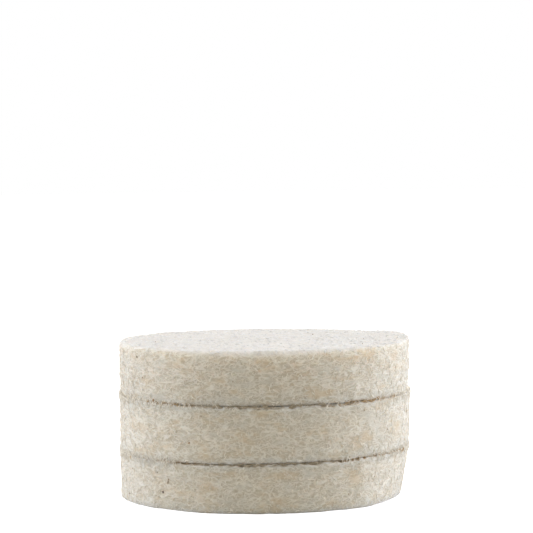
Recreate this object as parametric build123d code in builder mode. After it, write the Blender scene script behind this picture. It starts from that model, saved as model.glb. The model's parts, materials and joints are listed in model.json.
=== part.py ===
from build123d import *
import os

# Felt polishing wheels for a rotary tool, three of them, lying loose in a stack.
# Each wheel is one punching of pressed wool felt with a plain bore through its middle,
# and nothing joins one wheel to the next.
#
# Frame, in millimetres: +Z runs up the bores, and the origin is the middle of the
# lowest face, which the stack stands on.

# One round die punches every wheel, so all of them have one diameter and one bore.
WHEEL_DIAMETER = 25.4
BORE_DIAMETER = 2.0  # the screw of a mandrel cuts its own grip in this bore

# Felt sheet is uneven, so the wheels differ in thickness. From the bottom of the stack up.
THICKNESS = {"bottom_wheel": 4.2, "middle_wheel": 4.75, "top_wheel": 4.5}

# Felt gives under the die, which leaves its corners rounded.
RIM_ROUNDING = 0.4
BORE_ROUNDING = 0.15

os.makedirs("parts", exist_ok=True)

wheel_radius = WHEEL_DIAMETER / 2
bore_radius = BORE_DIAMETER / 2
face_height = 0.0

for name, thickness in THICKNESS.items():
    with BuildPart() as wheel:
        with BuildSketch(Plane.XY.offset(face_height)):
            Circle(wheel_radius)
            Circle(bore_radius, mode=Mode.SUBTRACT)
        extrude(amount=thickness)
        corners = wheel.edges().filter_by(GeomType.CIRCLE).sort_by(SortBy.RADIUS)
        bore_corners = corners[:2]
        rim_corners = corners[-2:]
        fillet(rim_corners, radius=RIM_ROUNDING)
        fillet(bore_corners, radius=BORE_ROUNDING)
    wheel.part.label = name
    export_step(wheel.part, f"parts/{name}.step")
    # The next wheel up lies flat on this one.
    face_height += thickness
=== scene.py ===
import json
import math
import random

import bmesh
import bpy
import numpy as np
from mathutils import Matrix, Quaternion, Vector, noise
from mathutils.bvhtree import BVHTree


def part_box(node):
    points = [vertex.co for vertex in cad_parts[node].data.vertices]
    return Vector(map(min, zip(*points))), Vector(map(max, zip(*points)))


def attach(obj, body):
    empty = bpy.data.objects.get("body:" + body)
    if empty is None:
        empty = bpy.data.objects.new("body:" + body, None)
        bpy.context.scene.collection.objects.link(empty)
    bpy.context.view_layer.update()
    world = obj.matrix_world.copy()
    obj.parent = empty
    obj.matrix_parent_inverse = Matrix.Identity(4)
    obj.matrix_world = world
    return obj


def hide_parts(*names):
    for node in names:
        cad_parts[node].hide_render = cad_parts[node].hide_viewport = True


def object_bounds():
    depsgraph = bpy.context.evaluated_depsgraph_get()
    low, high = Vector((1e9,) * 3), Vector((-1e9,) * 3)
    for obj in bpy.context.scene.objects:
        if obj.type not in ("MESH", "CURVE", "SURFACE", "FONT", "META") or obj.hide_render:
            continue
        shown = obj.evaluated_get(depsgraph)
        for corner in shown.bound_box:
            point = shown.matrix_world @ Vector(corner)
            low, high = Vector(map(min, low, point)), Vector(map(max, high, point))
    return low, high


bl_info = {
    "name": "Felt Polishing Wheels",
    "version": (1, 0, 0),
    "blender": (4, 5, 0),
    "location": "View3D > Sidebar > Felt Wheels",
    "description": "Makes a stack of pressed wool felt polishing wheels and the studio around it",
    "category": "Add Mesh",
}

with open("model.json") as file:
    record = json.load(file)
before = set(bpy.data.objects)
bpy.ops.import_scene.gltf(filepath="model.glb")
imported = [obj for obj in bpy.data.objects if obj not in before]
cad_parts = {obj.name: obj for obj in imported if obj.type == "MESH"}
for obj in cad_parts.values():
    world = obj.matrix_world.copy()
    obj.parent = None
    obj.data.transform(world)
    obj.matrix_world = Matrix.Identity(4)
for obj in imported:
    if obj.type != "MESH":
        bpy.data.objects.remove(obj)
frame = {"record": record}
CAD_LOW, CAD_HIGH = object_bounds()

MM = 0.001  # one millimetre in the scene's metres

WHEELS = ("bottom_wheel", "middle_wheel", "top_wheel")
BOTTOM, MIDDLE, TOP = WHEELS
BODY = {BOTTOM: "bottom", MIDDLE: "middle", TOP: "top"}
BORE_RADIUS = next(m["dims"]["r_mm"] for m in frame["record"]["mounts"] if m["kind"] == "bore")
STACK_HEIGHT = (CAD_HIGH.z - CAD_LOW.z) / MM

# Below, lengths are in millimetres unless said otherwise. Bearings are in degrees from +X, seen from
# above, so the front is -90. A width in degrees reaches that far to each side of its bearing.

# The mesh of a wheel
RING_CUTS = 4  # lengths that each step of the spin is cut into
FINE_BAND = 2.5  # width of the ring next to the rim that has the finest mesh
FINE_RING = 0.5  # the same next to the bore
SHARP_ANGLE = math.radians(62)  # a corner that is steeper than this is shaded as an edge

# Lumps, tufts and ragged edges
RAGGED_SIZE = 0.42  # size of the small bites out of the corners
UNEVEN_SIZE = 1.7  # size of their broader waves
LUMP_SIZES = (3.2, 1.3)  # sizes of the patches where the sheet is thick or thin
TUFT_SIZE = 0.42
CARDED_LENGTH = 2.0  # a tuft of the faces is this many times as long as it is wide
FACE_TUFTS = 0.3  # height of the faces' tufts, as a share of the rim's
LAYERS = (0.6, 0.4, 1.6)  # how much the rim's tufts are drawn out along X and Y and flattened along Z

# Corners
BORE_ROUNDING = 0.2  # at the bore's mouths
SHUT_CORNER = 0.15  # share of the rounding that is left where a seam is shut
LEAST_CORNER = 0.03
FRONT = -90.0
WORN_WIDTH = 75.0  # width of the worn front of the top edge
WORN_DOWN = 1.5  # how far it goes down the rim
WORN_IN = 0.7  # and in over the face

# The cut of the rims
SLANT = 0.83  # how far the foot of the stack leans in at +X
SLANT_TOP = 5.5  # level that it leans in from
FOOT_TAPER = 0.13  # how far the top wheel narrows towards its foot
FOOT_HEIGHT = 2.4  # level over its foot that it narrows from
FLARE = 0.05  # how far the upper corners of the other wheels spread

# The seams
SEAM_FRONT = -82.0  # bearing of the middle of the seams' open front
SEAM_BACK = 90.0
OPEN_WIDTH = 72.0  # width of the stretches where a seam gapes
GAP_ABOVE = 0.2  # share of the gap that is taken from the wheel above
DUST_AND_SHADE_ABOVE = 0.26  # how far the dust and its painted shade go up the wheel above the seam
DUST_AND_SHADE_BELOW = 0.14  # and down the wheel below it
SEAM_SAG = 0.07  # how much lower both seams are at the front than at the bore
SEAM_TILT = 0.1  # rise of the lower seam from the bore to the rim, towards +X
FLUFF_WIDTH = 62.0  # width of the stretches that dusty fluff fills

# The top wheel's upper face
PUCKER = 0.13  # height of the felt that was pushed up in front of its bore
PUCKER_WIDTH = 110.0
LIP_HEIGHT = 0.26  # height of its raised edge
SIDE_LIP = (16.0, 34.0)  # bearing and width of that edge
BACK_LIP = (150.0, 50.0)  # and of a lower one at the back
BACK_LIP_SHARE = 0.35  # how high the lower one is beside the other

# Loose fibres and flecks
FIBRE_POINTS = 6  # points along one loose fibre
TUCK = 0.015  # depth of felt over a loose fibre's ends
STEEP = 0.7  # a surface whose normal rises more than this is a face, and not the rim
FLECK_THICKNESS = 0.11

# The larger flecks: wheel, bearing, level, length, width and tone, from 0 for brown to 1 for dark
FLECKS = (
    (TOP, -148.0, 12.62, 0.2, 0.15, 0.9),
    (TOP, -138.0, 9.07, 0.36, 0.18, 0.1),
    (TOP, -40.0, 9.07, 0.3, 0.14, 0.1),
    (MIDDLE, -119.9, 5.78, 0.19, 0.15, 0.0),
    (BOTTOM, -129.9, 2.45, 0.48, 0.09, 0.6),
    (BOTTOM, -132.7, 1.47, 0.23, 0.2, 1.0),
)

# The soft lights: name, place and side in metres, power in watts, and colour
LIGHTS = (
    ("left_light", (-0.38, 0.11, 0.06), 0.25, 1.38, (0.97, 1.0, 1.11)),
    ("right_light", (0.385, 0.11, 0.06), 0.25, 1.70, (0.97, 1.0, 1.11)),
    ("top_light", (0, -0.05, 0.42), 0.3, 0.78, (0.98, 1.0, 1.08)),
)
ROOM_LIGHT = (0.395, 0.365, 0.295)  # that reaches the felt from all round
WHITE = (1.0, 1.0, 1.0)


# ---------------------------------------------------------------- settings


class FeltSettings(bpy.types.PropertyGroup):
    """Sizes and colours of the felt"""

    corner_rounding: bpy.props.FloatProperty(
        name="Corner rounding", description="Radius of the rim's corners", default=0.17 * MM,
        unit="LENGTH", precision=5)
    mesh_pitch: bpy.props.FloatProperty(
        name="Mesh pitch", description="Side of one face of the felt's mesh at the rim",
        default=0.135 * MM, unit="LENGTH", precision=6)
    lump_depth: bpy.props.FloatProperty(
        name="Lump depth", description="Height of the uneven patches of the sheet", default=0.05 * MM,
        unit="LENGTH", precision=6)
    tuft_depth: bpy.props.FloatProperty(
        name="Tuft depth", description="Height of the tufts of fibre on the skin", default=0.02 * MM,
        unit="LENGTH", precision=6)
    seam_gap: bpy.props.FloatProperty(
        name="Seam gap", description="Height of the gap at the rim between two wheels",
        default=0.19 * MM, unit="LENGTH", precision=6)
    seam_depth: bpy.props.FloatProperty(
        name="Seam depth", description="How far in from the rim the gap between two wheels goes",
        default=0.3 * MM, unit="LENGTH", precision=6)
    lay_angle: bpy.props.FloatProperty(
        name="Lay of the face", description="Direction that the face's fibres were carded in",
        default=math.radians(-35), subtype="ANGLE")
    wool: bpy.props.FloatVectorProperty(
        name="Wool", description="Clean wool", default=(0.89, 0.845, 0.745),
        subtype="COLOR", min=0, max=1)
    # Painted shade: the colour that the hollows of the fibre mat are darkened to, in place of the shade
    # between the fibres
    shade: bpy.props.FloatVectorProperty(
        name="Hollows", description="Wool between the fibres", default=(0.62, 0.56, 0.445),
        subtype="COLOR", min=0, max=1)
    straw: bpy.props.FloatVectorProperty(
        name="Straw", description="Yellowed wool", default=(0.72, 0.59, 0.41),
        subtype="COLOR", min=0, max=1)
    grey: bpy.props.FloatVectorProperty(
        name="Grey", description="Greyer wool here and there", default=(0.70, 0.675, 0.59),
        subtype="COLOR", min=0, max=1)
    pressed: bpy.props.FloatVectorProperty(
        name="Faces", description="Cleaner wool of the faces, that the press smoothed",
        default=(0.87, 0.86, 0.85), subtype="COLOR", min=0, max=1)
    # Dust and painted shade: this brown tints the felt beside the gaping seams, both as dust and as painted
    # shade next to the gap
    dust: bpy.props.FloatVectorProperty(
        name="Dust", description="Wool dust in the seams between the wheels", default=(0.52, 0.36, 0.19),
        subtype="COLOR", min=0, max=1)
    grime: bpy.props.FloatVectorProperty(
        name="Grime", description="Darker dust at the front and the back of the seams",
        default=(0.54, 0.465, 0.35), subtype="COLOR", min=0, max=1)


class NapSettings(bpy.types.PropertyGroup):
    """Sizes of the loose fibres"""

    fibre_thickness: bpy.props.FloatProperty(
        name="Fibre thickness", description="Thickness of a loose fibre", default=0.05 * MM,
        unit="LENGTH", precision=6)
    curl_radius: bpy.props.FloatProperty(
        name="Curl radius", description="Radius of a fibre's curl", default=0.2 * MM,
        unit="LENGTH", precision=5)
    fibres_on_rim: bpy.props.IntProperty(
        name="Fibres on the rim", description="Number of loose fibres on one wheel's rim",
        default=1500, min=0)
    tuft_thickness: bpy.props.FloatProperty(
        name="Tuft thickness", description="Thickness of a carded tuft of the faces", default=0.13 * MM,
        unit="LENGTH", precision=6)
    tufts_on_faces: bpy.props.IntProperty(
        name="Tufts on the faces", description="Number of carded tufts on one wheel's faces",
        default=3600, min=0)
    whiskers: bpy.props.IntProperty(
        name="Whiskers", description="Number of pale fibres at each side of a seam",
        default=500, min=0)
    flecks_per_wheel: bpy.props.IntProperty(
        name="Flecks", description="Number of small flecks in one wheel", default=20, min=0)
    fluff_in_seam: bpy.props.IntProperty(
        name="Fluff in a seam", description="Number of dusty fibres at each side of a seam",
        default=250, min=0)
    seed: bpy.props.IntProperty(name="Seed", description="Start of the random draws", default=7)


class StudioSettings(bpy.types.PropertyGroup):
    """The camera and the lights"""

    lens: bpy.props.FloatProperty(name="Lens", description="Focal length in millimetres", default=148.96)
    distance: bpy.props.FloatProperty(
        name="Camera distance", description="From the middle of the stack",
        default=194.35 * MM, unit="LENGTH")
    elevation: bpy.props.FloatProperty(
        name="Camera elevation", description="Angle of the camera above the stack",
        default=math.radians(6.561), subtype="ANGLE")
    aim_height: bpy.props.FloatProperty(
        name="Aim height", description="Height on the bore's axis that the camera looks at",
        default=19.84 * MM, unit="LENGTH")
    aim_side: bpy.props.FloatProperty(
        name="Aim side", description="Distance to the right of the axis that the camera looks at",
        default=0.31 * MM, unit="LENGTH")
    roll: bpy.props.FloatProperty(
        name="Camera roll", description="Tilt of the camera to one side", default=math.radians(-0.721),
        subtype="ANGLE")
    floor_radius: bpy.props.FloatProperty(
        name="Floor radius", description="Radius of the pale floor", default=2.0, unit="LENGTH")


# ---------------------------------------------------------------- felt bodies


def wheel_extent(node):
    """Radius, lowest and highest level of a wheel, in millimetres."""
    low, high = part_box(node)
    return (high.x - low.x) / 2 / MM, low.z / MM, high.z / MM


def divided(bm, edges, pitch):
    """Cuts each of the edges into even lengths of about pitch."""
    for edge in list(edges):
        cuts = round(edge.calc_length() / pitch) - 1
        if cuts > 0:
            bmesh.ops.subdivide_edges(bm, edges=[edge], cuts=cuts)


def spun_blank(radius, low, high, pitch):
    """The wheel's half section, cut up finely and spun once round the bore. In millimetres."""
    bm = bmesh.new()
    across = (BORE_RADIUS, BORE_RADIUS + FINE_RING, radius - FINE_BAND, radius)
    outline = [(x, low) for x in across] + [(x, high) for x in reversed(across)]
    corners = [bm.verts.new((x, 0, z)) for x, z in outline]
    section = [bm.edges.new((a, b)) for a, b in zip(corners, corners[1:] + corners[:1], strict=True)]
    lower_ring, lower_face, lower_band, side, upper_band, upper_face, upper_ring, bore = section
    divided(bm, (lower_band, side, upper_band, lower_ring, upper_ring), pitch)
    divided(bm, (lower_face, upper_face, bore), pitch * 2)
    bmesh.ops.spin(
        bm, geom=bm.verts[:] + bm.edges[:], cent=(0, 0, 0), axis=(0, 0, 1), angle=math.tau,
        steps=round(math.tau * radius / pitch / RING_CUTS), use_merge=True)
    rings = [
        e for e in bm.edges
        if abs(e.verts[0].co.z - e.verts[1].co.z) < 0.001
        and abs(e.verts[0].co.xy.length - e.verts[1].co.xy.length) < 0.001
    ]
    bmesh.ops.subdivide_edges(bm, edges=rings, cuts=RING_CUTS - 1, use_grid_fill=True)
    bmesh.ops.remove_doubles(bm, verts=bm.verts, dist=0.001)
    bmesh.ops.recalc_face_normals(bm, faces=bm.faces)
    return bm


def coordinates(mesh, attribute="vertices", field="co"):
    """A mesh's points, or their normals, as rows of three numbers."""
    found = np.empty(len(getattr(mesh, attribute)) * 3, np.float32)
    getattr(mesh, attribute).foreach_get(field, found)
    return found.reshape(-1, 3).astype(float)


def smooth_noise(points, size, shift):
    """Smooth noise from -1 to 1 with features of that size, at each point."""
    rows = points / size + shift
    return np.array([noise.noise(Vector(p)) for p in rows.tolist()]) * 1.6


def step(low, high, value):
    """0 below low, 1 above high, and smooth between them."""
    t = np.clip((value - low) / (high - low), 0, 1)
    return t * t * (3 - 2 * t)


def bearing(points):
    """Direction of each point from the bore, in degrees: 0 is +X and -90 is the front."""
    return np.degrees(np.arctan2(points[:, 1], points[:, 0]))


def at_bearing(around, reach, level):
    """The point at that bearing in radians, distance from the bore and level."""
    return Vector((reach * math.cos(around), reach * math.sin(around), level))


def facing(points, degrees, width):
    """1 where the rim faces that way, and 0 further from it than width, in degrees."""
    off = np.abs((bearing(points) - degrees + 180) % 360 - 180)
    return 1 - step(0, width, off)


def slant(points):
    """How far the rim leans in at the foot of the stack: the lower wheels were cut askew."""
    side = step(0.6, 1.0, points[:, 0] / np.hypot(points[:, 0], points[:, 1]))
    return SLANT * side * np.clip(1 - points[:, 2] / SLANT_TOP, 0, 1) ** 1.3


def rounded(points, wall, way, low, high, above, below):
    """Rounds a wall's square corners. Way is 1 for the rim and -1 for the bore.

    Above and below are pairs: how far the rounding goes down the wall and in over the face.
    """
    reach = np.hypot(points[:, 0], points[:, 1])
    height = points[:, 2].copy()
    new_reach = reach.copy()
    for level, sign, deep, wide in ((high, 1, *above), (low, -1, *below)):
        from_wall = way * (wall - reach)
        from_face = sign * (level - points[:, 2])
        on_wall = from_wall < 0.01
        size = np.where(on_wall, deep, wide)
        run = np.where(on_wall, from_face, from_wall)
        near = (run < size) & (on_wall | (from_face < 0.01))
        turn = (1 - np.clip(run / size, 0, 1)) * math.pi / 4
        short, long = 1 - np.cos(turn), 1 - np.sin(turn)
        new_reach = np.where(near, wall - way * wide * np.where(on_wall, short, long), new_reach)
        height = np.where(near, level - sign * deep * np.where(on_wall, long, short), height)
    moved = points * (new_reach / reach)[:, None]
    moved[:, 2] = height
    return moved


def corner_sizes(name, felt, gaping, worn, uneven, ragged):
    """Roundings of the rim's upper and lower corner, as pairs: down the rim and in over the face."""
    rounding = felt.corner_rounding / MM
    kept = SHUT_CORNER + (1 - SHUT_CORNER) * gaping
    above = rounding * (kept + (0.1 + 0.3 * gaping) * (uneven + ragged))
    below = rounding * (kept + (0.1 + 0.4 * gaping) * (uneven + ragged))
    if name == BOTTOM:
        below = rounding * (0.35 + 0.65 * gaping + 0.3 * uneven)
    above = np.maximum(above, LEAST_CORNER)
    below = np.maximum(below, LEAST_CORNER)
    if name == TOP:
        edge = rounding * (1 + 0.35 * uneven + 0.3 * ragged)
        return (edge + WORN_DOWN * worn, edge + WORN_IN * worn), (below, below)
    return (above, above), (below, below)


def skin_height(points, on_side, felt, shift):
    """Height of the lumps and tufts at each point. The tufts of the faces lie the way they were carded."""
    broad, narrow = LUMP_SIZES
    lumps = smooth_noise(points, broad, shift) * 0.6 + smooth_noise(points, narrow, shift + 9) * 0.5
    cos, sin = math.cos(felt.lay_angle), math.sin(felt.lay_angle)
    along = points[:, 0] * cos + points[:, 1] * sin
    across = points[:, 1] * cos - points[:, 0] * sin
    carded = np.column_stack((along / CARDED_LENGTH, across, points[:, 2]))
    tufts = (
        FACE_TUFTS * smooth_noise(carded, TUFT_SIZE, shift + 21) * (1 - on_side)
        + smooth_noise(points * LAYERS, TUFT_SIZE, shift + 33) * on_side
    )
    depth = (lumps * felt.lump_depth + tufts * felt.tuft_depth) / MM
    return depth - 0.6 * felt.tuft_depth / MM


def rim_inward(name, points, reach, on_side, radius, low, high):
    """How far in the rim is moved: the slanting foot, the top wheel's taper and the others' flare."""
    inward = slant(points) * step(radius - 3.0, radius - 0.4, reach)
    if name == TOP:
        return inward + FOOT_TAPER * on_side * (1 - step(low, low + FOOT_HEIGHT, points[:, 2]))
    return inward - FLARE * on_side * step(high - 0.6, high - 0.1, points[:, 2])


def flat_share(name, points, low, high):
    """1 on the faces that are pressed on another wheel, and 0 elsewhere."""
    pressed = np.zeros(len(points))
    if name != BOTTOM:
        pressed = 1 - step(0.1, 0.4, points[:, 2] - low)
    if name != TOP:
        pressed = np.maximum(pressed, 1 - step(0.1, 0.4, high - points[:, 2]))
    return pressed


def part_seams(name, points, moved, opened, low, high):
    """Parts the wheels at the rim, and gives how near each point is to a seam, from 0 to 1: the mask of the
    seams' dust and painted shade.
    """
    seam = np.zeros(len(points))
    if name != BOTTOM:
        moved[:, 2] += GAP_ABOVE * opened * (1 - step(0, 0.75, points[:, 2] - low))
        seam = np.maximum(seam, 1 - step(0.0, DUST_AND_SHADE_ABOVE, points[:, 2] - low))
    if name != TOP:
        moved[:, 2] -= (1 - GAP_ABOVE) * opened * step(high - 0.6, high, points[:, 2])
        seam = np.maximum(seam, 1 - step(0.0, DUST_AND_SHADE_BELOW, high - points[:, 2]))
    return seam


def raise_top(points, moved, reach, radius, low, high):
    """Raises the top wheel's upper face in front of the bore and along two stretches of its edge."""
    upper = step(low + 2.0, high, points[:, 2])
    ring = step(0.9, 1.3, reach) * (1 - step(1.6, 3.6, reach)) * facing(points, FRONT, PUCKER_WIDTH)
    moved[:, 2] += PUCKER * ring * upper
    lip = facing(points, *SIDE_LIP) * step(radius - 2.5, radius - 0.2, reach)
    lip += BACK_LIP_SHARE * facing(points, *BACK_LIP) * step(radius - 4.0, radius - 0.2, reach)
    moved[:, 2] += LIP_HEIGHT * lip * upper


def settle(name, points, moved, radius, low, high):
    """Lets each wheel follow the sag of the seams at the front, and the tilt of the lower one."""
    sag = -SEAM_SAG * np.clip(-points[:, 1] / radius, 0, 1)
    tilt = SEAM_TILT * points[:, 0] / radius + sag
    upper = step(low + 1.5, high, points[:, 2])
    if name == BOTTOM:
        moved[:, 2] += tilt * upper
    elif name == MIDDLE:
        moved[:, 2] += tilt * (1 - upper) + sag * upper
    else:
        moved[:, 2] += sag * (1 - upper)


def move_points(mesh, points):
    """Puts the mesh's points there."""
    mesh.vertices.foreach_set("co", points.astype(np.float32).ravel())
    mesh.update()


def store(mesh, name, numbers):
    """Keeps a number for each point in the mesh, for the material to read."""
    kept = mesh.attributes.new(name, "FLOAT", "POINT")
    kept.data.foreach_set("value", numbers.astype(np.float32))


def felted(name, mesh, radius, low, high, felt):
    """Makes the even blank uneven, as felt is: lumps, tufts, worn corners, ragged seams, a slanting cut."""
    points = coordinates(mesh)
    shift = np.array([3.1, 17.7, 5.3]) * (1 + WHEELS.index(name))
    ragged = smooth_noise(points * (1, 1, 0.3), RAGGED_SIZE, shift + 57)
    uneven = smooth_noise(points * (1, 1, 0.3), UNEVEN_SIZE, shift + 63)
    worn = facing(points, FRONT, WORN_WIDTH)
    gaping = np.maximum(facing(points, SEAM_FRONT, OPEN_WIDTH), facing(points, SEAM_BACK, OPEN_WIDTH))
    above, below = corner_sizes(name, felt, gaping, worn, uneven, ragged)
    points = rounded(points, radius, 1, low, high, above, below)
    points = rounded(points, BORE_RADIUS, -1, low, high, (BORE_ROUNDING,) * 2, (BORE_ROUNDING,) * 2)
    move_points(mesh, points)

    normals = coordinates(mesh, "vertices", "normal")
    reach = np.hypot(points[:, 0], points[:, 1])
    on_side = step(radius - 0.5, radius - 0.15, reach)
    moved = points + normals * skin_height(points, on_side, felt, shift)[:, None]
    inward = rim_inward(name, points, reach, on_side, radius, low, high)
    moved[:, :2] *= (1 - inward / np.maximum(reach, 0.5))[:, None]
    moved[:, 2] = np.clip(moved[:, 2], low + 0.004, high - 0.004)
    moved[:, 2] += (points[:, 2] - moved[:, 2]) * flat_share(name, points, low, high) * (1 - gaping)

    depth = felt.seam_depth / MM * np.clip(1 + 0.5 * uneven + 0.5 * ragged, 0.3, None)
    rim = step(0, 1, (reach - radius + depth) / 0.18)
    gap = felt.seam_gap / MM * gaping * np.clip(1 + 0.6 * uneven + 0.5 * ragged, 0.1, None)
    seam = part_seams(name, points, moved, gap * rim, low, high)
    if name == TOP:
        raise_top(points, moved, reach, radius, low, high)
    settle(name, points, moved, radius, low, high)
    move_points(mesh, moved * MM)
    # Mask of the brown beside the gaping seams: partly dust, partly painted shade next to the gap
    store(mesh, "seam", seam * rim * step(0, 0.25, gaping) * np.clip(0.75 + 0.9 * ragged, 0.2, 1))
    store(mesh, "rim", on_side * (1 - step(0.45, 0.95, np.abs(normals[:, 2]))))


def felt_wheel(name, felt):
    """One wheel's body, in place on its CAD body."""
    radius, low, high = wheel_extent(name)
    blank = spun_blank(radius, low, high, felt.mesh_pitch / MM * (1))
    mesh = bpy.data.meshes.new(name + "_felt")
    blank.to_mesh(mesh)
    blank.free()
    felted(name, mesh, radius, low, high, felt)
    piece = bpy.data.objects.new(name + "_felt", mesh)
    bpy.context.scene.collection.objects.link(piece)
    for polygon in mesh.polygons:
        polygon.use_smooth = True
    mesh.set_sharp_from_angle(angle=SHARP_ANGLE)
    mesh.materials.append(felt_material(felt))
    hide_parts(name)
    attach(piece, BODY[name])


# ---------------------------------------------------------------- materials


def link(tree, source, target):
    """Feeds a node's output, or a plain value, to an input."""
    if isinstance(source, bpy.types.NodeSocket):
        tree.links.new(source, target)
    else:
        target.default_value = source


def maths(tree, operation, a, b=0.0, c=0.0):
    """A Math node."""
    node = tree.nodes.new("ShaderNodeMath")
    node.operation = operation
    for socket, value in zip(node.inputs, (a, b, c), strict=False):
        link(tree, value, socket)
    return node.outputs[0]


def vectors(tree, operation, a, b):
    """A Vector Math node."""
    node = tree.nodes.new("ShaderNodeVectorMath")
    node.operation = operation
    link(tree, a, node.inputs[0])
    link(tree, b, node.inputs[1])
    return node.outputs[0]


def ramp(tree, value, low, high, out_low=0.0, out_high=1.0):
    """Takes value from low..high to out_low..out_high, smoothly and without passing them."""
    node = tree.nodes.new("ShaderNodeMapRange")
    node.interpolation_type = "SMOOTHSTEP"
    for socket, number in zip(node.inputs, (value, low, high, out_low, out_high), strict=False):
        link(tree, number, socket)
    return node.outputs[0]


def mix_colour(tree, share, a, b):
    """Colour a where share is 0, and b where it is 1."""
    node = tree.nodes.new("ShaderNodeMix")
    node.data_type = "RGBA"
    link(tree, share, node.inputs[0])
    for socket, value in ((node.inputs[6], a), (node.inputs[7], b)):
        link(tree, value if isinstance(value, bpy.types.NodeSocket) else (*value, 1.0), socket)
    return node.outputs[2]


def noise_node(tree, vector, per_mm, detail=2.0, roughness=0.5, distortion=0.0):
    """Noise from 0 to 1, with that many features in a millimetre."""
    node = tree.nodes.new("ShaderNodeTexNoise")
    link(tree, vector, node.inputs["Vector"])
    node.inputs["Scale"].default_value = per_mm
    node.inputs["Detail"].default_value = detail
    node.inputs["Roughness"].default_value = roughness
    node.inputs["Distortion"].default_value = distortion
    return node.outputs["Fac"]


def strands(tree, vector, per_mm, width, shift):
    """Thin curly lines, 1 along their middle and 0 beside them: the level lines of a smooth noise."""
    moved = vectors(tree, "ADD", vector, shift)
    level = noise_node(tree, moved, per_mm, detail=1.0, roughness=0.4, distortion=0.6)
    off = maths(tree, "ABSOLUTE", maths(tree, "SUBTRACT", level, 0.5))
    return ramp(tree, off, 0.0, width, 1.0, 0.0)


def fibre_mat(tree, vector):
    """Crossing layers of curly fibre, thick ones over thin ones: their height, from 0 to about 1."""
    thick = strands(tree, vector, 1.5, 0.07, (0.0, 0.0, 0.0))
    middling = maths(tree, "MULTIPLY", strands(tree, vector, 2.3, 0.07, (31.0, 7.0, 13.0)), 0.85)
    thin = maths(tree, "MULTIPLY", strands(tree, vector, 3.7, 0.06, (5.0, 43.0, 29.0)), 0.7)
    return maths(tree, "MAXIMUM", thick, maths(tree, "MAXIMUM", middling, thin))


def object_millimetres(tree, turn=0.0, stretch=(1.0, 1.0, 1.0)):
    """Object coordinates in millimetres, turned about the bore and stretched."""
    place = tree.nodes.new("ShaderNodeTexCoord").outputs["Object"]
    turned = tree.nodes.new("ShaderNodeMapping")
    turned.inputs["Rotation"].default_value = (0, 0, -turn)
    link(tree, place, turned.inputs["Vector"])
    return vectors(tree, "MULTIPLY", turned.outputs[0], tuple(s / MM for s in stretch))


def stored(tree, name):
    """The number kept under that name in the mesh."""
    node = tree.nodes.new("ShaderNodeAttribute")
    node.attribute_name = name
    return node.outputs["Fac"]


def new_material(name, roughness, specular):
    """A material of that name, with its node tree and its shader."""
    material = bpy.data.materials.new(name)
    material.use_nodes = True
    shader = material.node_tree.nodes["Principled BSDF"]
    shader.inputs["Roughness"].default_value = roughness
    shader.inputs["Specular IOR Level"].default_value = specular
    return material, material.node_tree, shader


def seam_dust(tree, felt):
    """Colour of the dust in the seams: grime at the front and the back, and browner towards +X and -X."""
    split = tree.nodes.new("ShaderNodeSeparateXYZ")
    link(tree, object_millimetres(tree), split.inputs[0])
    sideways = ramp(tree, maths(tree, "ABSOLUTE", split.outputs[0]), 4.0, 9.5)
    return mix_colour(tree, sideways, felt.grime, felt.dust)


def felt_material(felt):
    """Pressed wool: carded streaks on the faces, layered curls on the cut rim, straw-coloured patches,
    painted shade in the hollows between the fibres, and dust with painted shade beside the gaping seams.
    """
    found = bpy.data.materials.get("pressed_wool_felt")
    if found:
        return found
    material, tree, shader = new_material("pressed_wool_felt", 0.95, 0.2)
    carded = object_millimetres(tree, felt.lay_angle, (0.45, 1.6, 1.0))
    layered = object_millimetres(tree, 0.0, (0.7, 0.4, 1.4))
    on_side = stored(tree, "rim")
    face_mat = fibre_mat(tree, carded)
    side_mat = fibre_mat(tree, layered)
    on_face = maths(tree, "SUBTRACT", 1.0, on_side)
    side_part = maths(tree, "MULTIPLY", side_mat, on_side)
    mat = maths(tree, "ADD", side_part, maths(tree, "MULTIPLY", face_mat, on_face))
    grain = noise_node(tree, layered, 4.2, detail=4.0, roughness=0.7)
    height = maths(tree, "ADD", maths(tree, "MULTIPLY", mat, 0.5), maths(tree, "MULTIPLY", grain, 0.8))
    # Painted shade: where the fibres' height is low, the colour goes over to the shade colour, standing in
    # for the shade in the hollows
    painted_shade_ramp = ramp(tree, height, 0.25, 1.0)
    base = mix_colour(tree, painted_shade_ramp, felt.shade, felt.wool)
    blend = noise_node(tree, layered, 0.7, detail=3.0, roughness=0.6)
    rim_share = maths(tree, "MULTIPLY_ADD", on_side, 0.8, 0.2)
    for wool, start, full in ((felt.straw, 0.5, 0.7), (felt.grey, 0.48, 0.3)):
        patches = maths(tree, "MULTIPLY", ramp(tree, blend, start, full, 0.0, 0.6), rim_share)
        base = mix_colour(tree, patches, base, wool)
    base = mix_colour(tree, maths(tree, "MULTIPLY_ADD", on_side, -0.55, 0.55), base, felt.pressed)
    # Dust and painted shade: beside the gaping seams the colour goes over to the seam's brown, partly dust
    # and partly the shade next to the gap
    dusty = maths(tree, "MULTIPLY", stored(tree, "seam"), 0.85)
    base = mix_colour(tree, dusty, base, seam_dust(tree, felt))
    link(tree, base, shader.inputs["Base Color"])
    shader.inputs["Sheen Weight"].default_value = 0.3
    shader.inputs["Sheen Roughness"].default_value = 0.5
    shader.inputs["Subsurface Weight"].default_value = 0.8
    shader.inputs["Subsurface Radius"].default_value = (1.0, 0.88, 0.76)
    shader.inputs["Subsurface Scale"].default_value = 1.5 * MM
    bump = tree.nodes.new("ShaderNodeBump")
    link(tree, maths(tree, "MULTIPLY_ADD", on_side, -0.2, 0.6), bump.inputs["Strength"])
    bump.inputs["Distance"].default_value = 0.09 * MM
    link(tree, height, bump.inputs["Height"])
    link(tree, bump.outputs[0], shader.inputs["Normal"])
    return material


# ---------------------------------------------------------------- loose fibres


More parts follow.
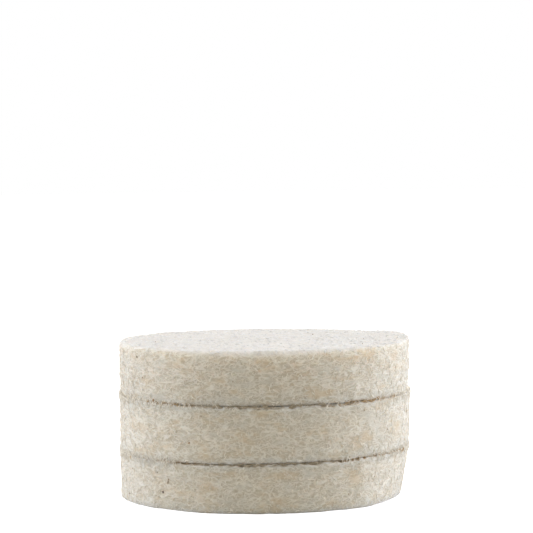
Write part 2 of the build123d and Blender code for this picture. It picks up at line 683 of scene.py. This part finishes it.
def nap_material(name, wool, straw):
    """Loose wool, paler and duller in turn, with a straw-coloured fibre here and there."""
    found = bpy.data.materials.get(name)
    if found:
        return found
    material, tree, shader = new_material(name, 0.7, 0.35)
    tone = noise_node(tree, object_millimetres(tree), 1.7, detail=2.0, roughness=0.6)
    dull, pale = (tuple(c * share for c in wool) for share in (0.91, 1.1))
    light = mix_colour(tree, ramp(tree, tone, 0.38, 0.62), dull, pale)
    base = mix_colour(tree, ramp(tree, tone, 0.68, 0.74), light, straw)
    link(tree, base, shader.inputs["Base Color"])
    shader.inputs["Sheen Weight"].default_value = 0.1
    return material


def fluff_material(felt):
    """The dusty fluff in the seams."""
    found = bpy.data.materials.get("dusty_wool")
    if found:
        return found
    material, tree, shader = new_material("dusty_wool", 0.9, 0.1)
    link(tree, seam_dust(tree, felt), shader.inputs["Base Color"])
    return material


def laid_fibre(draw, tree, start, normal, thick, crest, settings, lay):
    """Points of one curly fibre that creeps over the felt, with its two ends tucked in.

    Thick is its thickness, and crest how high it stands out. On a face it follows the lay.
    """
    on_face = abs(normal.z) > STEEP
    sideways = lay.copy() if on_face else normal.cross(Vector((0, 0, 1)))
    sideways.normalize()
    spread = 0.4 if on_face else 0.7 - 0.35 * abs(normal.x)
    heading = (Quaternion(normal, draw.gauss(0, spread)) @ sideways).normalized()
    curl = draw.choice((-1, 1)) * draw.uniform(0.2, 1.3) / settings.curl_radius * MM
    turn = curl * (0.4 if on_face else 1)
    pace = draw.uniform(0.08, 0.14) * (1 + 0.7 * abs(normal.x))
    place = start.copy()
    track = []
    for i in range(FIBRE_POINTS):
        arch = math.sin(math.pi * i / (FIBRE_POINTS - 1))
        track.append(place + normal * ((crest - thick / 2) * arch - (thick / 2 + TUCK) * (1 - arch)))
        heading = Quaternion(normal, turn * pace + draw.gauss(0, 0.12)) @ heading
        found, found_normal, _, _ = tree.find_nearest(place + heading * pace)
        stride = found - place
        normal = normal.lerp(found_normal, 0.5).normalized()
        place = found
        heading = stride - normal * stride.dot(normal)
        heading.normalize()
    return track


def whisker(draw, around, level, heading, out, thick):
    """Points of one loose fibre at a seam. Heading is its slope, and out its distance from the bore."""
    height = level + draw.gauss(0, 0.03)
    turn = draw.uniform(-1.5, 1.5)
    pace = draw.uniform(0.09, 0.15)
    track = []
    for i in range(FIBRE_POINTS):
        arch = math.sin(math.pi * i / (FIBRE_POINTS - 1))
        reach = out - (TUCK + thick / 2) * (1 - arch)
        track.append(at_bearing(around, reach, height))
        heading += turn * pace
        around += pace * math.cos(heading) / out
        height += pace * math.sin(heading)
    middle = sum(p.z for p in track) / len(track)
    return [p - Vector((0, 0, middle - level)) for p in track]


def tubes(name, fibres, material, body):
    """One piece made of thin closed tubes along the fibres, which are pairs of points and thickness."""
    curve = bpy.data.curves.new(name, "CURVE")
    curve.dimensions = "3D"
    curve.bevel_depth = 0.5
    curve.bevel_resolution = 0
    curve.use_fill_caps = True
    for track, thick in fibres:
        spline = curve.splines.new("POLY")
        spline.points.add(len(track) - 1)
        spline.points.foreach_set("co", [c for p in track for c in (*p, 1.0)])
        bulge = [math.sin(math.pi * (i + 0.5) / len(track)) for i in range(len(track))]
        spline.points.foreach_set("radius", [thick * (0.45 + 0.55 * b) for b in bulge])
    loose = bpy.data.objects.new(name, curve)
    bpy.context.scene.collection.objects.link(loose)
    graph = bpy.context.evaluated_depsgraph_get()
    mesh = bpy.data.meshes.new_from_object(loose.evaluated_get(graph), depsgraph=graph)
    bpy.data.objects.remove(loose)
    bpy.data.curves.remove(curve)
    mesh.transform(((MM, 0, 0, 0), (0, MM, 0, 0), (0, 0, MM, 0), (0, 0, 0, 1)))
    mesh.materials.clear()
    mesh.materials.append(material)
    piece = bpy.data.objects.new(name, mesh)
    bpy.context.scene.collection.objects.link(piece)
    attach(piece, body)


def seam_level(lower, high, around):
    """Level of the seam over a wheel that is so high, where it comes out at that bearing of the rim."""
    rise = SEAM_TILT * math.cos(around) if lower == WHEELS[0] else 0
    return high + rise - SEAM_SAG * max(0, -math.sin(around))


def seam_fibres(draw, tree, name, felt, settings, share):
    """One wheel's loose fibres at its seams: pale where they are shut, dusty where they gape."""
    index = WHEELS.index(name)
    radius, _, _ = wheel_extent(name)
    fine = settings.fibre_thickness / MM
    gap = felt.seam_gap / MM
    seams = []  # the wheel under the seam, the way to this wheel, and the fluff's place down the gap
    if name != BOTTOM:
        seams.append((WHEELS[index - 1], 1, (-0.15, 0.25)))
    if name != TOP:
        seams.append((name, -1, (0.5, 0.9)))
    whiskers, fluff = [], []
    for lower, way, depths in seams:
        high = wheel_extent(lower)[2]
        for _ in range(settings.whiskers // share):
            thick = fine * draw.uniform(0.6, 1.4)
            around = draw.choice((0, math.pi, math.pi)) + draw.gauss(0, 0.5)
            level = seam_level(lower, high, around) + way * draw.uniform(0.04, 0.2)
            found, _, _, _ = tree.find_nearest(at_bearing(around, radius, level))
            out = found.xy.length + draw.uniform(-0.01, 0.04)
            track = whisker(draw, around, level, draw.gauss(math.pi / 2, 0.7), out, thick)
            whiskers.append((track, thick))
        for _ in range(settings.fluff_in_seam // share):
            thick = fine * draw.uniform(0.7, 1.6)
            out = radius - draw.uniform(0.05, 0.2)
            middle = draw.choice((SEAM_FRONT, SEAM_BACK))
            around = math.radians(middle + draw.uniform(-1, 1) * FLUFF_WIDTH)
            level = seam_level(lower, high, around) - draw.uniform(*depths) * gap
            fluff.append((whisker(draw, around, level, draw.gauss(0, 0.35), out, thick), thick))
    return whiskers, fluff


def skin_of(body):
    """A body's mesh and its search tree, in millimetres."""
    skin = bmesh.new()
    skin.from_mesh(body.data)
    bmesh.ops.scale(skin, vec=(1 / MM,) * 3, verts=skin.verts)
    return skin, BVHTree.FromBMesh(skin)


def nap(name, body, felt, settings):
    """One wheel's loose fibres: fine curls on its cut rim, and coarser carded tufts on its faces."""
    draw = random.Random(settings.seed + WHEELS.index(name))
    radius, low, _ = wheel_extent(name)
    skin, tree = skin_of(body)
    skin.faces.ensure_lookup_table()
    rim = [
        f for f in skin.faces
        if abs(f.normal.z) < STEEP and f.calc_center_median().xy.length > radius / 2
    ]
    lay = Vector((math.cos(felt.lay_angle), math.sin(felt.lay_angle), 0))
    share = 1
    fine = settings.fibre_thickness / MM
    coarse = settings.tuft_thickness / MM
    curls, tufts = [], []
    for _ in range(settings.fibres_on_rim // share):
        face = draw.choice(rim)
        thick = fine * draw.uniform(0.7, 1.6)
        crest = draw.uniform(0.02, 0.055)
        start = face.calc_center_median()
        track = laid_fibre(draw, tree, start, face.normal.copy(), thick, crest, settings, lay)
        curls.append((track, thick))
    for _ in range(settings.tufts_on_faces // share):
        around = draw.uniform(0, math.tau)
        reach = (radius - 0.35) * math.sqrt(draw.random())
        level = low + draw.choice((-3, 8))  # well below the wheel or above it
        start, normal, _, _ = tree.find_nearest(at_bearing(around, reach, level))
        thick = coarse * draw.uniform(0.5, 1.5)
        free = name == TOP and normal.z > 0
        crest = draw.uniform(0.02, 0.065) if free else draw.uniform(0.01, 0.04)
        tufts.append((laid_fibre(draw, tree, start, normal, thick, crest, settings, lay), thick))
    whiskers, fluff = seam_fibres(draw, tree, name, felt, settings, share)
    skin.free()
    loose_wool = nap_material("loose_wool", felt.wool, felt.straw)
    carded_wool = nap_material("carded_wool", felt.pressed, felt.straw)
    tubes(name + "_nap", curls + whiskers, loose_wool, BODY[name])
    tubes(name + "_tufts", tufts, carded_wool, BODY[name])
    tubes(name + "_fluff", fluff, fluff_material(felt), BODY[name])


# ---------------------------------------------------------------- flecks


def fleck_material():
    """Bits of straw, seed and grit that were left in the wool."""
    found = bpy.data.materials.get("straw_flecks")
    if found:
        return found
    material, tree, shader = new_material("straw_flecks", 0.8, 0.5)
    place = object_millimetres(tree)
    husk = mix_colour(tree, stored(tree, "tone"), (0.40, 0.23, 0.10), (0.09, 0.07, 0.05))
    grain = ramp(tree, noise_node(tree, place, 14.0, detail=2.0), 0.35, 0.65)
    speckled = mix_colour(tree, maths(tree, "MULTIPLY", grain, 0.3), husk, (0.50, 0.40, 0.28))
    link(tree, speckled, shader.inputs["Base Color"])
    return material


def flecks(name, body, settings):
    """The flecks in one wheel's skin, as one mesh of small flattened grains."""
    draw = random.Random(settings.seed + 40 + WHEELS.index(name))
    radius, low, high = wheel_extent(name)
    skin, tree = skin_of(body)
    skin.free()
    places = [
        (at_bearing(math.radians(degrees), radius, level), length, width, tone)
        for wheel, degrees, level, length, width, tone in FLECKS if wheel == name
    ]
    for _ in range(settings.flecks_per_wheel):
        around = draw.uniform(0, math.tau)
        reach = radius if draw.random() < 0.5 else (radius - 1.0) * math.sqrt(draw.random())
        level = draw.uniform(low + 0.5, high - 0.5) if reach == radius else draw.choice((low, high))
        length = draw.uniform(0.05, 0.14)
        width = length * draw.uniform(0.3, 0.9)
        places.append((at_bearing(around, reach, level), length, width, draw.uniform(0, 0.5)))
    bm = bmesh.new()
    shade = bm.verts.layers.float.new("tone")
    for place, length, width, tone in places:
        found, normal, _, _ = tree.find_nearest(place)
        turn = normal.to_track_quat("Z", "X") @ Quaternion((0, 0, 1), draw.uniform(-0.5, 0.5))
        size = Matrix.Diagonal((length / 2, width / 2, FLECK_THICKNESS / 2, 1))
        matrix = Matrix.Translation(found) @ turn.to_matrix().to_4x4() @ size
        made = bmesh.ops.create_icosphere(bm, subdivisions=2, radius=1.0, matrix=matrix)
        for vert in made["verts"]:
            vert[shade] = tone
    bmesh.ops.scale(bm, vec=(MM,) * 3, verts=bm.verts)
    mesh = bpy.data.meshes.new(name + "_flecks")
    bm.to_mesh(mesh)
    bm.free()
    piece = bpy.data.objects.new(name + "_flecks", mesh)
    bpy.context.scene.collection.objects.link(piece)
    mesh.materials.append(fleck_material())
    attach(piece, BODY[name])


# ---------------------------------------------------------------- studio


def floor(radius):
    """The pale floor that the stack stands on."""
    bm = bmesh.new()
    bmesh.ops.create_circle(bm, cap_ends=True, segments=96, radius=radius)
    mesh = bpy.data.meshes.new("floor")
    bm.to_mesh(mesh)
    bm.free()
    piece = bpy.data.objects.new("floor", mesh)
    bpy.context.scene.collection.objects.link(piece)
    material, tree, shader = new_material("pale_floor", 0.9, 0.0)
    shader.inputs["Base Color"].default_value = (0.7, 0.7, 0.7, 1)
    shader.inputs["Emission Color"].default_value = (*WHITE, 1)
    seen = tree.nodes.new("ShaderNodeLightPath").outputs["Is Camera Ray"]
    link(tree, maths(tree, "MULTIPLY", seen, 0.8), shader.inputs["Emission Strength"])
    mesh.materials.append(material)


def soft_light(name, place, side, watts, colour):
    """A square lamp that faces the middle of the stack."""
    target = Vector((0, 0, STACK_HEIGHT * MM / 2))
    data = bpy.data.lights.new(name, "AREA")
    data.shape = "SQUARE"
    data.size = side
    data.energy = watts
    data.color = colour
    lamp = bpy.data.objects.new(name, data)
    lamp.location = place
    lamp.rotation_mode = "QUATERNION"
    lamp.rotation_quaternion = (target - Vector(place)).to_track_quat("-Z", "Y")
    bpy.context.scene.collection.objects.link(lamp)


def studio_world():
    """A room that is white to the camera, and lights the felt softly."""
    world = bpy.data.worlds.new("white_room")
    world.use_nodes = True
    tree = world.node_tree
    background = tree.nodes["Background"]
    path = tree.nodes.new("ShaderNodeLightPath").outputs["Is Camera Ray"]
    link(tree, mix_colour(tree, path, ROOM_LIGHT, WHITE), background.inputs["Color"])
    background.inputs["Strength"].default_value = 1.0
    bpy.context.scene.world = world


def camera(studio):
    """The camera in front of the stack, a little above it."""
    data = bpy.data.cameras.new("camera")
    data.lens = studio.lens
    data.sensor_width = 36
    data.clip_start = 0.01
    data.clip_end = 20
    middle = Vector((0, 0, STACK_HEIGHT * MM / 2))
    away = Vector((0, -math.cos(studio.elevation), math.sin(studio.elevation)))
    place = middle + away * studio.distance
    aim = Vector((studio.aim_side, 0, studio.aim_height))
    held = bpy.data.objects.new("camera", data)
    held.location = place
    held.rotation_mode = "QUATERNION"
    held.rotation_quaternion = (aim - place).to_track_quat("-Z", "Y") @ Quaternion((0, 0, 1), studio.roll)
    bpy.context.scene.collection.objects.link(held)
    bpy.context.scene.camera = held


# ---------------------------------------------------------------- operators


class OBJECT_OT_felt_wheels(bpy.types.Operator):
    """Make the felt wheels of the stack"""

    bl_idname = "object.felt_wheels"
    bl_label = "Felt Wheels"

    def execute(self, context):
        for name in WHEELS:
            felt_wheel(name, context.scene.felt)
        return {"FINISHED"}


class OBJECT_OT_felt_nap(bpy.types.Operator):
    """Lay the loose wool fibres on the wheels"""

    bl_idname = "object.felt_nap"
    bl_label = "Loose Fibres"

    def execute(self, context):
        for name in WHEELS:
            nap(name, bpy.data.objects[name + "_felt"], context.scene.felt, context.scene.nap)
        return {"FINISHED"}


class OBJECT_OT_felt_flecks(bpy.types.Operator):
    """Set the flecks of straw and seed in the wheels"""

    bl_idname = "object.felt_flecks"
    bl_label = "Flecks"

    def execute(self, context):
        for name in WHEELS:
            flecks(name, bpy.data.objects[name + "_felt"], context.scene.nap)
        return {"FINISHED"}


class OBJECT_OT_felt_studio(bpy.types.Operator):
    """Set up the floor, the lights and the camera"""

    bl_idname = "object.felt_studio"
    bl_label = "Studio"

    def execute(self, context):
        studio = context.scene.studio
        camera(studio)
        floor(studio.floor_radius)
        studio_world()
        for light in LIGHTS:
            soft_light(*light)
        context.scene.view_settings.view_transform = "Standard"
        return {"FINISHED"}


class VIEW3D_PT_felt_wheels(bpy.types.Panel):
    """Everything that makes the stack"""

    bl_label = "Felt Wheels"
    bl_idname = "VIEW3D_PT_felt_wheels"
    bl_space_type = "VIEW_3D"
    bl_region_type = "UI"
    bl_category = "Felt Wheels"

    def draw(self, context):
        scene = context.scene
        for group, operator in (
            (scene.felt, OBJECT_OT_felt_wheels),
            (scene.nap, OBJECT_OT_felt_nap),
            (scene.studio, OBJECT_OT_felt_studio),
        ):
            column = self.layout.column()
            for key in group.__annotations__:
                column.prop(group, key)
            column.operator(operator.bl_idname)
        self.layout.operator(OBJECT_OT_felt_flecks.bl_idname)


GROUPS = {"felt": FeltSettings, "nap": NapSettings, "studio": StudioSettings}
CLASSES = (
    *GROUPS.values(),
    OBJECT_OT_felt_wheels,
    OBJECT_OT_felt_nap,
    OBJECT_OT_felt_flecks,
    OBJECT_OT_felt_studio,
    VIEW3D_PT_felt_wheels,
)


def register():
    for made in CLASSES:
        bpy.utils.register_class(made)
    for name, group in GROUPS.items():
        setattr(bpy.types.Scene, name, bpy.props.PointerProperty(type=group))


def unregister():
    for name in GROUPS:
        delattr(bpy.types.Scene, name)
    for made in reversed(CLASSES):
        bpy.utils.unregister_class(made)


def main():
    register()
    bpy.ops.object.felt_studio()
    bpy.ops.object.felt_wheels()
    bpy.ops.object.felt_nap()
    bpy.ops.object.felt_flecks()


if __name__ == "__main__":
    main()
